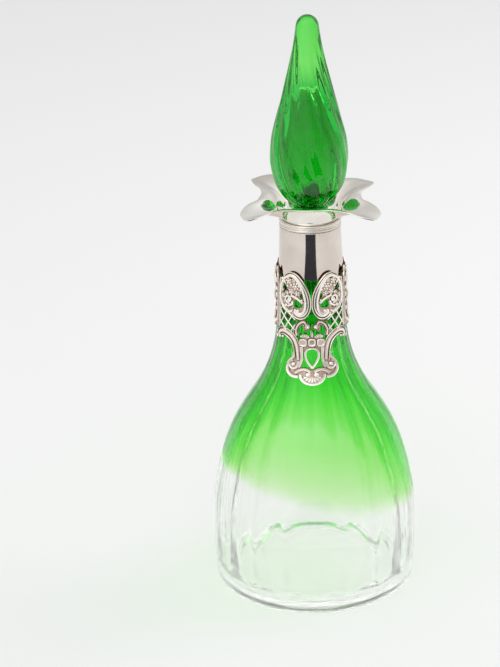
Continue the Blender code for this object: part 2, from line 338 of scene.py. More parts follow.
def tint_glass(tree, shader, colour, grazing):
    """Colours glass, deeper where the eye grazes along the wall."""
    gamma = math_node(tree, "ADD", grazing, 1.0)
    deep = add_node(tree, "Gamma", Color=colour, Gamma=gamma)
    feed(tree, shader, Base_Color=deep.outputs["Color"], Transmission_Weight=1.0)


def facing_power(tree, power):
    """0 where the surface faces the eye, and 1 at its outline, raised to a power."""
    facing = add_node(tree, "LayerWeight").outputs["Facing"]
    return math_node(tree, "POWER", facing, power)


def clear_shadow(tree, shader, tint, straight, painted_glow):
    """Glass lets tinted light through to the table instead of casting a black shadow.

    A share of the other rays goes straight through too, which softens hard refracted edges.
    Rays that would wander inside the walls for ever end on a painted glow instead: an emission in a
    set tone stands in for the light they would bring.
    """
    path = add_node(tree, "LightPath").outputs
    tint = add_node(tree, "Gamma", Color=tint, Gamma=SHADOW_TINT_GAMMA)
    clear = add_node(tree, "BsdfTransparent", Color=tint.outputs["Color"])
    soft_rays = math_node(tree, "MAXIMUM", path["Is Shadow Ray"], path["Is Diffuse Ray"])
    share = math_node(tree, "MULTIPLY", soft_rays, SHADOW_CLEARNESS)
    share = math_node(tree, "MAXIMUM", share, straight)
    near = add_node(tree, "MixShader")
    put_in(tree, near, (share, shader.outputs["BSDF"], clear.outputs["BSDF"]))
    # painted glow: an emission in a set tone stands in for the light of rays lost deep in the glass
    deep_glow = add_node(tree, "Emission", Color=(*painted_glow, 1.0))
    is_deep = math_node(tree, "GREATER_THAN", path["Ray Depth"], LOST_RAY_DEPTH)
    final = add_node(tree, "MixShader")
    put_in(tree, final, (is_deep, near.outputs["Shader"], deep_glow.outputs["Emission"]))
    feed(tree, tree.nodes["Material Output"], Surface=final.outputs["Shader"])


def bottle_glass():
    """Clear at the base; green comes in along a tilted edge and deepens to the neck."""
    material, tree, shader = material_tree("tinted_glass_fine")
    position = object_position(tree)
    place = split_vector(tree, position)
    height = scaled(tree, place["X"], TINT_TILT, place["Z"])
    wander = math_node(tree, "SUBTRACT", noise_texture(tree, position, 22.0, 2.0), 0.5)
    height = scaled(tree, wander, TINT_WANDER, height)
    share = map_range(tree, height, From_Min=TINT_LOW_Z, From_Max=TINT_LOW_Z + TINT_SPAN)
    colour = ramp(tree, share, BOTTLE_TINTS)
    # painted shade: the edge tint deepens more on the left side, away from the key light
    left_shade = scaled(tree, place["X"], -LEFT_PAINTED_SHADE, 1.0)
    grazing = math_node(tree, "MULTIPLY", facing_power(tree, 2.6), BOTTLE_EDGE_DEPTH)
    tint_glass(tree, shader, colour, math_node(tree, "MULTIPLY", grazing, left_shade))
    waves = noise_texture(tree, position, 60.0, 2.0)
    feed(tree, shader, IOR=BOTTLE_IOR, Roughness=0.0, Normal=bump(tree, waves, 0.12, 0.6 * MM))
    haze = ramp(tree, share, ((0.0, (0.05, 0.05, 0.05)), (0.3, (0.03, 0.03, 0.03))))
    clear_shadow(tree, shader, colour, haze, BOTTLE_PAINTED_GLOW)
    return material


def stopper_glass():
    """Deep green glass, with the ground zone of the plug frosted."""
    material, tree, shader = material_tree("stopper_glass_fine")
    position = object_position(tree)
    height = split_vector(tree, position)["Z"]
    ground_top = PLUG_END_Z + PLUG_LENGTH
    rough = map_range(tree, height, From_Min=ground_top - 0.3 * MM, From_Max=ground_top + 0.5 * MM,
                      To_Min=GROUND_ROUGHNESS, To_Max=0.0)
    share = map_range(tree, height, From_Min=PLUG_END_Z, From_Max=STOPPER_TOP_Z)
    colour = ramp(tree, share, STOPPER_TINTS)
    grazing = math_node(tree, "MULTIPLY", facing_power(tree, 2.0), STOPPER_EDGE_DEPTH)
    tint_glass(tree, shader, colour, grazing)
    ground = math_node(tree, "MULTIPLY", noise_texture(tree, position, 2600.0, 2.0), rough)
    waves = noise_texture(tree, position, 75.0, 2.0)
    surface = bump(tree, scaled(tree, waves, 0.5, ground), 0.2, 0.4 * MM)
    feed(tree, shader, IOR=STOPPER_IOR, Roughness=rough, Normal=surface)
    clear_shadow(tree, shader, colour, 0.0, STOPPER_PAINTED_GLOW)
    return material


def polished_silver(name, dark, light):
    """Silver plate with soft handling marks and a faint warm tarnish."""
    material, tree, shader = material_tree(name)
    position = object_position(tree)
    colour = ramp(tree, noise_texture(tree, position, 55.0, 4.0), ((0.32, dark), (0.66, light)))
    wipe = noise_texture(tree, position, 380.0, 5.0, 0.65)
    roughness = map_range(tree, wipe, From_Min=0.3, From_Max=0.7, To_Min=0.03, To_Max=0.09)
    feed(tree, shader, Base_Color=colour, Metallic=1.0, Roughness=roughness,
         Normal=bump(tree, wipe, 0.06, 0.05 * MM))
    return material


def chased_silver():
    """Bright on the raised edges, brown-pink tarnish in the recesses, and painted shade from
    ambient occlusion in the crevices.
    """
    material, tree, shader = material_tree("pierced_silver_fine")
    position = object_position(tree)
    relief = add_node(tree, "Attribute")
    relief.attribute_name = "relief"
    mottle = noise_texture(tree, position, 900.0, 3.0)
    uneven = math_node(tree, "SUBTRACT", mottle, 0.5)
    level = scaled(tree, uneven, 0.25, relief.outputs["Fac"])
    # painted shade: ambient occlusion darkens the crevices between bosses, rims and the pierced
    # ground
    painted_occlusion = add_node(tree, "AmbientOcclusion", Distance=PAINTED_SHADE_REACH)
    painted_occlusion.only_local = True
    painted_occlusion.samples = 8
    unshaded_share = math_node(tree, "POWER", painted_occlusion.outputs["AO"], 1.2)
    level = math_node(tree, "MULTIPLY", level, scaled(tree, unshaded_share, 0.75, 0.3))
    # the side towards the neck has no recesses, so it is lighter than they are
    flat = vector_node(tree, "MULTIPLY", position, (1.0, 1.0, 0.0))["Vector"]
    normal = add_node(tree, "NewGeometry").outputs["Normal"]
    outward = vector_node(tree, "DOT_PRODUCT", flat, normal)["Value"]
    inward = math_node(tree, "LESS_THAN", outward, -0.6 * UNROLL_RADIUS)
    level = scaled(tree, inward, 0.2, level)
    feed(tree, shader, Base_Color=ramp(tree, level, CHASING_TONES), Metallic=1.0,
         Roughness=map_range(tree, level, To_Min=0.48, To_Max=0.18),
         Normal=bump(tree, mottle, 0.25, 0.12 * MM))
    return material


def plaster():
    material, tree, shader = material_tree("plaster_fine")
    grain = noise_texture(tree, object_position(tree), 700.0, 6.0)
    colour = ramp(tree, grain, ((0.3, (0.72, 0.69, 0.62)), (0.7, (0.90, 0.88, 0.83))))
    feed(tree, shader, Base_Color=colour, Roughness=0.9, Normal=bump(tree, grain, 0.5, 0.2 * MM))
    return material


# The glass bottle

BODY_SHAPE = in_mm((  # height, radius
    (2.4, 54.2), (10, 54.7), (24, 55), (46, 54.5), (64, 51.7), (78, 48.0), (91, 42.9), (103, 35.9),
    (113, 29.4), (122, 24.8), (131, 21.4), (140, 19.3), (150, 18.2), (177, 15.6), (203, 13.8)))
CAVITY_SHAPE = in_mm((
    (12.5, 50.2), (30, 51.6), (46, 51.0), (64, 48.0), (78, 44.3), (91, 39.2), (103, 32.2),
    (113, 25.7), (122, 21.0), (131, 17.6), (140, 15.4), (152, 13.6), (165, 10.6), (174, 8.7)))


def bottle_radius(z):
    return lookup(BODY_SHAPE, z)


def steps(low, high, count):
    return [low + (high - low) * i / count for i in range(count + 1)]


def bottle_profile():
    """Inner floor, cavity, bore, mouth, outside and foot, with the split between in and out."""
    floor = PUNT_DEPTH + BASE_THICKNESS
    inner = in_mm(((0, 0.6), (6, 0.6), (30, 0.3), (42, 0.3), (47.6, 1.9)), floor)
    inner = curve_through(inner + in_mm(((50.2, 12.5),)), 6)[:-1]
    inner += [(lookup(CAVITY_SHAPE, z), z) for z in steps(12.5 * MM, 174 * MM, 82)]
    slope = (PLUG_TOP_RADIUS - PLUG_END_RADIUS) / PLUG_LENGTH
    bore_bottom = PLUG_END_Z - 1 * MM
    for z in steps(bore_bottom, MOUTH_Z - 0.8 * MM, 8):
        inner.append((PLUG_END_RADIUS + JOINT_GAP + slope * (z - PLUG_END_Z), z))
    high = PLUG_TOP_RADIUS + JOINT_GAP
    inner += [(high + 0.25 * MM, MOUTH_Z - 0.25 * MM), (high + 0.9 * MM, MOUTH_Z)]
    outer = [(13.0 * MM, MOUTH_Z), (13.6 * MM, MOUTH_Z - 0.3 * MM)]
    outer += [(bottle_radius(z), z) for z in reversed(steps(2.6 * MM, MOUTH_Z - 1.2 * MM, 92))]
    foot = in_mm(((54.2, 2.6), (53.9, 1.5), (53.1, 0.6), (51.9, 0.12)))
    foot = curve_through(foot + [(FOOT_RADIUS, 0.0)], 4)[1:]
    foot += [(FOOT_RADIUS - FOOT_RING_WIDTH, 0.0)]
    foot += curve_through(in_mm(((41.8, 0.3), (30, 0.95), (16, 1.45)))
                          + [(6 * MM, PUNT_DEPTH), (0.0, PUNT_DEPTH)], 6)
    return inner + outer + foot, len(inner)


def make_bottle(material):
    profile, inner_count = bottle_profile()
    rng = random.Random(7)
    depths = [0.85 + 0.3 * rng.random() for _ in range(FLUTES)]
    drifts = [(rng.random() - 0.5) * 0.10 for _ in range(FLUTES)]

    def flute(angle):
        """One soft channel per flute, with narrow ridges between, a little uneven."""
        turn = (angle / TAU * FLUTES) % FLUTES
        index = int(turn) % FLUTES
        place = turn - int(turn)
        place = min(1.0, max(0.0, place + drifts[index] * math.sin(math.pi * place)))
        return depths[index] * (abs(math.cos(math.pi * place)) ** 1.4 - 0.5)

    def rule(index, radius, angle, z):
        inside = index < inner_count
        if inside:
            fade = smoothstep(6 * MM, 16 * MM, z) * (1 - smoothstep(130 * MM, 168 * MM, z))
            return radius + INNER_FLUTE * fade * flute(angle), angle, z
        fade = smoothstep(3 * MM, 22 * MM, z) * (1 - 0.55 * smoothstep(125 * MM, 150 * MM, z))
        fade *= 1 - smoothstep(172 * MM, 178 * MM, z)
        return radius + OUTER_FLUTE * fade * flute(angle), angle, z

    mesh = lathe("bottle_glass", profile, BOTTLE_SEGMENTS, rule)
    put_piece("bottle_glass", mesh, material, 50, "glass_bottle")


# The stopper

def make_stopper(material):
    top = STOPPER_TOP_Z
    collar_z = PLUG_END_Z + PLUG_LENGTH
    crease_z = collar_z + COLLAR_LENGTH
    tip = [(TIP_RADIUS * math.sin(a), top - TIP_RADIUS * (1 - math.cos(a)))
           for a in steps(0.0, math.radians(78), 8)]
    shape = [(crease_z + dz * MM, r * MM) for dz, r in (
        (0.6, 8.5), (3.2, 11.0), (6.5, 14.0), (14.5, 18.0), (25.5, 19.8), (35, 19.1), (46, 16.7),
        (60.5, 12.7), (76.5, 8.9), (90, 6.4), (94.5, 5.75))]
    body = [(lookup(shape, z), z) for z in reversed(steps(crease_z + 0.6 * MM, top - 5 * MM, 74))]
    collar = curve_through([
        (CREASE_RADIUS, crease_z + 0.1 * MM), (CREASE_RADIUS + 0.15 * MM, crease_z - 0.5 * MM),
        (COLLAR_RADIUS - 0.12 * MM, crease_z - 1.4 * MM), (COLLAR_RADIUS, crease_z - 2.6 * MM),
        (COLLAR_RADIUS, collar_z + 2 * MM), (COLLAR_RADIUS - 0.1 * MM, collar_z + 0.9 * MM),
        (PLUG_TOP_RADIUS + 0.1 * MM, collar_z + 0.25 * MM)], 4)
    plug = [(PLUG_TOP_RADIUS, collar_z), (PLUG_END_RADIUS, PLUG_END_Z + 0.5 * MM),
            (PLUG_END_RADIUS - 0.15 * MM, PLUG_END_Z + 0.12 * MM),
            (PLUG_END_RADIUS - 0.5 * MM, PLUG_END_Z)]
    outer = tip + body + collar + plug
    cavity_shape = [(crease_z + dz * MM, r * MM) for dz, r in (
        (-34, 4.0), (-3, 4.2), (1, 4.9), (5, 8.0), (12, 13.4), (25.5, 16.0), (35, 14.9), (45, 11.8),
        (54, 8.2), (60, 4.8))]
    cavity = [(4.5 * MM, PLUG_END_Z), (4.0 * MM, PLUG_END_Z + 0.5 * MM)]
    cavity += [(lookup(cavity_shape, z), z)
               for z in steps(PLUG_END_Z + 2 * MM, crease_z + 60 * MM, 60)]
    cavity += in_mm(((3.4, 61.6), (1.8, 62.7), (0, 63.1)), crease_z)
    outer_count = len(outer)

    def rule(index, radius, angle, z):
        rise = z - crease_z
        if rise <= 0.5 * MM:
            return radius, angle, z
        fade = smoothstep(0.5 * MM, 7 * MM, rise) * (1 - smoothstep(62 * MM, 92 * MM, rise))
        turned = angle + STOPPER_TWIST * rise / (top - crease_z)
        place = (turned / TAU * STOPPER_FLUTES) % 1.0
        channel = abs(math.cos(math.pi * place)) ** 1.5 - 0.5
        depth = STOPPER_FLUTE if index < outer_count else 0.3 * STOPPER_FLUTE
        if index >= outer_count:
            fade *= smoothstep(2 * MM, 10 * MM, rise)
        return radius + depth * fade * channel, angle, z

    mesh = lathe("stopper_glass", outer + cavity, STOPPER_FLUTES * 16, rule)
    put_piece("stopper_glass", mesh, material, 50, "stopper", "stopper")


# Plain silver

def hand_finish(index, radius, angle, z):
    """The slight unevenness of hammered and planished sheet."""
    ripple = (math.sin(3 * angle + 1.3) * math.sin(z / (9 * MM))
              + 0.6 * math.sin(7 * angle - z / (6 * MM)))
    return radius + HAND_FINISH * ripple, angle, z


def sleeve_radius(z):
    return SLEEVE_TOP_RADIUS + (SLEEVE_TOP_Z - z) * SLEEVE_FLARE


def make_sleeve(material):
    top, bottom = SLEEVE_TOP_Z, SLEEVE_BOTTOM_Z
    edge = 0.3 * MM
    outside = [(sleeve_radius(z), z) for z in reversed(steps(bottom + edge, top - edge, 40))]
    inside = [(sleeve_radius(z) - SILVER, z) for z in steps(bottom + edge, top - edge, 12)]
    profile = outside + [(sleeve_radius(bottom) - edge, bottom)] + inside
    profile += [(sleeve_radius(top) - edge, top)]
    mesh = lathe("sleeve", profile, 192, hand_finish, closed=True)
    put_piece("sleeve", mesh, material, 40, "neck_sleeve")


def make_ring(material):
    """A fine moulding of three reeds, the top one widest."""
    bottom, top = RING_BOTTOM_Z, RING_TOP_Z
    inner = 15.0 * MM
    height = top - bottom
    outside = []
    for low, high, radius in ((0.66, 1, 16.25), (0.34, 0.62, 15.95), (0, 0.30, 16.2)):
        for angle in steps(0, math.pi, 8):
            z = bottom + height * ((low + high) / 2 + (high - low) / 2 * math.cos(angle))
            outside.append((radius * MM - 0.35 * MM * (1 - math.sin(angle)), z))
    profile = [(inner, top)] + outside + [(inner, bottom)]
    mesh = lathe("ring_moulding", profile, 192, closed=True)
    put_piece("ring_moulding", mesh, material, 50, "lip_ring")


# The lip's rim, all the way round: (degrees from the front, reach, height)
LIP_RIM = (
    (-180, 22.8, 216), (-169, 25.4, 216.4), (-162, 33, 216.8), (-156, 39.5, 216.9),
    (-150, 42.5, 216.8), (-143, 43.8, 216.4), (-136, 43.6, 216.2), (-130, 39, 216.3),
    (-118, 29, 216.4), (-103, 25.8, 216), (-90, 26.6, 215.4), (-79, 32.2, 214.8),
    (-70, 37, 213.8), (-62, 40, 212.9), (-54, 40.6, 212.2), (-49, 36, 213.2),
    (-45, 28.6, 214.6), (-39, 23.4, 215), (-20, 19.8, 215), (0, 19.2, 215),
    (25, 20.4, 215), (36, 24.4, 215), (42, 29.6, 214.6), (47, 37.6, 213.1),
    (53, 42.2, 212.2), (60, 41.4, 212.9), (69, 37.4, 213.9), (78, 31.6, 214.9),
    (86, 27, 215.6), (96, 26.5, 216.2), (108, 29.8, 216.7), (117, 36, 216.5),
    (125, 40.8, 216.2), (132, 40, 216.2), (140, 38, 216.5), (147, 34.6, 216.6),
    (153, 28.6, 216.5), (160, 24.2, 216.2), (168, 22.6, 216), (180, 22.8, 216))


def make_lip(material):
    """A raised sheet with four drawn lobes and pinched waists."""
    flare = [(LIP_ROOT_RADIUS * (1 + share), LIP_ROOT_Z) for share in steps(0.02, 1.0, 44)]
    throat = curve_through(
        in_mm(((10.4, 204), (11.8, 204.05), (13, 204.35), (14, 205.2), (14.6, 206))), 4)
    reaches = [(degrees, r * MM) for degrees, r, _ in LIP_RIM]
    heights = [(degrees, z * MM) for degrees, _, z in LIP_RIM]

    def rule(index, radius, angle, z):
        share = radius / LIP_ROOT_RADIUS - 1
        if share <= 0.0:
            return radius, angle, z
        from_front = math.degrees(math.atan2(math.cos(angle), -math.sin(angle)))
        reach = lookup(reaches, from_front)
        height = lookup(heights, from_front)
        r = LIP_ROOT_RADIUS + (reach - LIP_ROOT_RADIUS) * share ** 1.25
        rise = (height + LIP_DROOP - LIP_ROOT_Z) * (1 - (1 - share) ** 2)
        return r, angle, LIP_ROOT_Z + rise - LIP_DROOP * share ** 4

    mesh = lathe("lip_sheet", throat + flare, 288, rule)
    lip = new_object("lip_sheet", mesh, material)
    sheet = lip.modifiers.new("sheet", "SOLIDIFY")
    sheet.thickness = LIP_SHEET
    sheet.offset = 0.0
    edge = lip.modifiers.new("edge", "BEVEL")
    edge.width = 0.22 * MM
    edge.segments = 3
    edge.limit_method = "ANGLE"
    edge.angle_limit = math.radians(60)
    apply_modifiers(lip)
    lip.data.shade_smooth()
    stand_for(lip, "lip")


# The pierced apron. Its ornament is drawn flat, in millimetres (along the wrap, height), and
# bent round the neck. Each piece of ornament writes how far it stands up in "relief".

def rimmed_section(hollow):
    """Levels across a band: rims at both edges with a hollow of a given depth, or a plain roll."""
    section = []
    for s in (-1, -0.95, -0.84, -0.70, -0.56, -0.28, 0, 0.28, 0.56, 0.70, 0.84, 0.95, 1):
        edge = abs(s)
        level = (1 - hollow) + hollow * math.exp(-((edge - 0.80) / 0.15) ** 2)
        if edge > 0.9:
            level *= 0.8 if edge < 0.99 else 0.45
        if hollow < 0.05:
            level = math.sqrt(max(0.0, 1 - edge ** 2.4)) * 0.8 + 0.2
        section.append((s, level))
    return section


# a narrow rim, a groove and a broad roll
SCROLL_SECTION = (
    (-1, 0.5), (-0.96, 0.85), (-0.84, 1), (-0.72, 0.85), (-0.64, 0.35), (-0.5, 0.3),
    (-0.4, 0.62), (-0.22, 0.86), (0.1, 0.95), (0.4, 0.9), (0.68, 0.72), (0.9, 0.5), (1, 0.3))
# rims at both edges, and a low roll between two grooves
STRAP_SECTION = (
    (-1, 0.45), (-0.96, 0.8), (-0.87, 1), (-0.78, 0.85), (-0.71, 0.25), (-0.56, 0.22),
    (-0.46, 0.52), (-0.24, 0.68), (0, 0.72), (0.24, 0.68), (0.46, 0.52), (0.56, 0.22),
    (0.71, 0.25), (0.78, 0.85), (0.87, 1), (0.96, 0.8), (1, 0.45))


class Ornament:
    """Collects closed relief shapes on the unrolled sheet."""

    def __init__(self):
        self.work = bmesh.new()
        self.relief = self.work.verts.layers.float.new("relief")

    def vertex(self, u, v, depth, relief):
        vert = self.work.verts.new((u, v, depth))
        vert[self.relief] = relief
        return vert

    def polar(self, u, v, reach, angle, depth, relief):
        return self.vertex(u + reach * math.cos(angle), v + reach * math.sin(angle), depth, relief)

    def beside(self, u, v, step, share, depth, relief):
        return self.vertex(u + step[0] * share, v + step[1] * share, depth, relief)

    def grid(self, rows):
        """Rows of vertices closed along and across, with flat ends."""
        across = len(rows[0])
        for first, second in zip(rows, rows[1:]):
            for i in range(across):
                j = (i + 1) % across
                self.work.faces.new((first[i], second[i], second[j], first[j]))
        self.work.faces.new(rows[-1][::-1])
        self.work.faces.new(rows[0])

    def stack(self, rings):
        """Rings of vertices closed around, from a flat foot up to a flat top."""
        around = len(rings[0])
        for first, second in zip(rings, rings[1:]):
            for i in range(around):
                j = (i + 1) % around
                self.work.faces.new((first[i], first[j], second[j], second[i]))
        self.work.faces.new(rings[-1])
        self.work.faces.new(rings[0][::-1])

    def band(self, path, width, height=1.0, hollow=0.6, base=0.0, taper=(1.0, 1.0), per_span=7,
             section=None):
        """A moulding along a path: two rims with a hollow between them, or its own section."""
        section = section or rimmed_section(hollow)
        points = curve_through(path, per_span)
        count = len(points)
        rows = []
        for k, (u, v) in enumerate(points):
            before = points[max(k - 1, 0)]
            after = points[min(k + 1, count - 1)]
            du, dv = after[0] - before[0], after[1] - before[1]
            length = math.hypot(du, dv) or 1.0
            along = k / (count - 1) * (len(taper) - 1)
            station = min(int(along), len(taper) - 2)
            wide, next_wide = taper[station:station + 2]
            half = 0.5 * width * (wide + (next_wide - wide) * (along - station))
            step = (-dv / length * half, du / length * half)
            row = [self.beside(u, v, step, share, base + height * level, 0.04 + 0.96 * level ** 1.6)
                   for share, level in section]
            row += [self.beside(u, v, step, share, base, 0.05) for share in (0.97, -0.97)]
            rows.append(row)
        self.grid(rows)

    def plate(self, inside, left, right, low, high, depth=0.4, cell=0.3):
        """A flat backing where a rule is positive; the rule is a distance in millimetres."""
        across = int((right - left) / cell) + 1
        up = int((high - low) / cell) + 1
        field = {(i, k): inside(left + i * cell, low + k * cell)
                 for i in range(across + 1) for k in range(up + 1)}
        made = {}

        def corner(i, k):
            if (i, k) not in made:
                made[i, k] = self.vertex(left + i * cell, low + k * cell, 0.0, 0.36)
            return made[i, k]

        def crossing(a, b):
            first, second = key = (min(a, b), max(a, b))
            if key not in made:
                share = field[first] / (field[first] - field[second])
                share = min(0.96, max(0.04, share))
                i, k = (c + (d - c) * share for c, d in zip(first, second))
                made[key] = self.vertex(left + i * cell, low + k * cell, 0.0, 0.36)
            return made[key]

        sheet = []
        for i in range(across):
            for k in range(up):
                loop = ((i, k), (i + 1, k), (i + 1, k + 1), (i, k + 1))
                outline = []
                for a, b in zip(loop, loop[1:] + loop[:1]):
                    if field[a] > 0:
                        outline.append(corner(*a))
                    if (field[a] > 0) != (field[b] > 0):
                        outline.append(crossing(a, b))
                if len(outline) > 2:
                    sheet.append(self.work.faces.new(outline))
        raised = bmesh.ops.extrude_face_region(self.work, geom=sheet)["geom"]
        for item in raised:
            if isinstance(item, bmesh.types.BMVert):
                item.co.z = depth

    def boss(self, u, v, radius, height=1.0, base=0.0):
        """A round stud."""
        around = 18
        rings = []
        for share in (1, 0.97, 0.88, 0.72, 0.52, 0.3, 0.12):
            level = math.sqrt(max(0.0, 1 - share ** 2.6))
            rings.append([self.polar(u, v, radius * share, TAU * k / around,
                                     base + height * level, 0.12 + 0.88 * level ** 0.8)
                          for k in range(around)])
        bottom = [self.vertex(u + (vert.co.x - u) * 0.98, v + (vert.co.y - v) * 0.98, base, 0.05)
                  for vert in rings[0]]
        self.stack([bottom] + rings)

    def flower(self, u, v, radius, petals, height=0.8, base=0.0, turn=0.0):
        """Round petals about a taller heart."""
        petal = radius * 0.98 * math.sin(math.pi / petals) / (1 + math.sin(math.pi / petals))
        for k in range(petals):
            angle = TAU * k / petals + turn
            reach = radius - petal
            self.boss(u + reach * math.cos(angle), v + reach * math.sin(angle), petal,
                      height * 0.8, base)
        self.boss(u, v, radius * 0.4, height * 1.2, base)

    def leaf(self, u, v, length, width, direction, height=0.9, base=0.0):
        """A veined leaf pointing along a direction."""
        angle = math.radians(direction)
        spine = []
        for share in (0, 0.33, 0.66, 1):
            bent = angle + 0.35 * share
            spine.append((u + length * share * math.cos(bent), v + length * share * math.sin(bent)))
        points = curve_through(spine, 4)
        rows = []
        for k, (pu, pv) in enumerate(points):
            share = k / (len(points) - 1)
            half = 0.5 * width * (math.sin(math.pi * min(1.0, 0.12 + 0.88 * share)) ** 0.8 + 0.06)
            bent = angle + 0.35 * share
            step = (-math.sin(bent) * half, math.cos(bent) * half)
            row = []
            for s in (-1, -0.6, -0.25, 0, 0.25, 0.6, 1):
                level = 0.45 + 0.5 * (1 - abs(abs(s) - 0.55)) - (0.3 if s == 0.0 else 0.0)
                if abs(s) == 1.0:
                    level = 0.35
                row.append(self.beside(pu, pv, step, s, base + height * level, level))
            row += [self.beside(pu, pv, step, s, base, 0.1) for s in (0.9, -0.9)]
            rows.append(row)
        self.grid(rows)

    def shell(self, u, v, radius, start, stop, ribs, height=0.9, base=0.0):
        """A fan of rounded ribs, like a scallop."""
        rows = []
        for share in steps(0, 1, ribs * 6):
            angle = math.radians(start + (stop - start) * share)
            rib = abs(math.sin(math.pi * ribs * share)) ** 0.7
            row = []
            for reach in (0.12, 0.35, 0.6, 0.82, 0.94, 1):
                out = radius * reach * (1 + 0.06 * rib * reach)
                level = (0.35 + 0.6 * rib * reach) * (1 if reach < 0.97 else 0.6)
                row.append(self.polar(u, v, out, angle, base + height * level, level))
            row.append(self.polar(u, v, radius * 0.98, angle, base, 0.1))
            row.append(self.polar(u, v, 0.13 * radius, angle, base, 0.1))
            rows.append(row)
        self.grid(rows)

    def shield(self, u, v, width, height_mm, depth=0.95, base=0.0):
        """A small blank cartouche with a raised rim and nothing on it."""
        around = 24
        rings = []
        for share, level in ((1, 0.3), (0.97, 0.85), (0.86, 1), (0.76, 0.7), (0.5, 0.62),
                             (0.2, 0.62)):
            ring = []
            for k in range(around):
                angle = TAU * k / around
                c, s = math.cos(angle), math.sin(angle)
                pu = math.copysign(abs(c) ** 0.6, c) * width / 2 * share
                pv = math.copysign(abs(s) ** 0.6, s) * height_mm / 2 * share
                if s < 0:
                    pu *= 1 - 0.35 * abs(s) ** 2
                ring.append(self.vertex(u + pu, v + pv, base + depth * level,
                                        0.15 + 0.8 * level * level))
            rings.append(ring)
        bottom = [self.vertex(vert.co.x, vert.co.y, base, 0.1) for vert in rings[0]]
        self.stack([bottom] + rings)

    def mirror(self):
        """Repeat everything so far on the other side of the middle line."""
        geom = self.work.verts[:] + self.work.edges[:] + self.work.faces[:]
        made = bmesh.ops.duplicate(self.work, geom=geom)["geom"]
        for item in made:
            if isinstance(item, bmesh.types.BMVert):
                item.co.x = -item.co.x
        bmesh.ops.reverse_faces(
            self.work, faces=[item for item in made if isinstance(item, bmesh.types.BMFace)])


def volute(eye, radius, start, sweep, shrink, count=10):
    """Points of a spiral that winds in to an eye."""
    points = []
    for share in steps(0, 1, count):
        angle = math.radians(start + sweep * share)
        reach = radius * (1 - (1 - shrink) * share)
        points.append((eye[0] + reach * math.cos(angle), eye[1] + reach * math.sin(angle)))
    return points


def trellis(ornament, left, right, low, high, slope, spacing):
    """Crossing thin bars over a rectangle."""
    for direction, rise, gap in ((-1, slope[0], spacing[0]), (1, slope[1], spacing[1])):
        reach = (high - low) / rise
        start = left - reach
        while start < right + reach:
            inside = []
            for share in steps(0, 1, 40):
                u = start + direction * reach * share
                if left <= u <= right:
                    inside.append((u, low + (high - low) * share))
            if len(inside) > 2:
                bar = [inside[0], inside[len(inside) // 2], inside[-1]]
                ornament.band(bar, 0.85, 0.6, 0, 0.1, per_span=4)
            start += gap


def round_hole(u, v, centre_u, centre_v, half_u, half_v):
    """Distance-like measure outside an oval: positive outside it."""
    return (math.hypot((u - centre_u) / half_u, (v - centre_v) / half_v) - 1) * min(half_u, half_v)


def star_hole(u, v, centre_u, centre_v, radius):
    around = math.atan2(v - centre_v, u - centre_u)
    return math.hypot(u - centre_u, v - centre_v) - radius * (0.72 + 0.28 * math.cos(5 * around))


CARTOUCHE_HOLES = (
    (7.2, 164.3, 2.9, 2.3), (5, 168.8, 1, 1.5), (11.9, 162.2, 1, 0.7), (11.2, 178, 0.9, 0.5))


def cartouche_field(u, v):
    return min(-round_hole(u, v, 10.3, 168.4, 8.6, 11.2), star_hole(u, v, 15.2, 171.9, 3),
               *(round_hole(u, v, *hole) for hole in CARTOUCHE_HOLES))


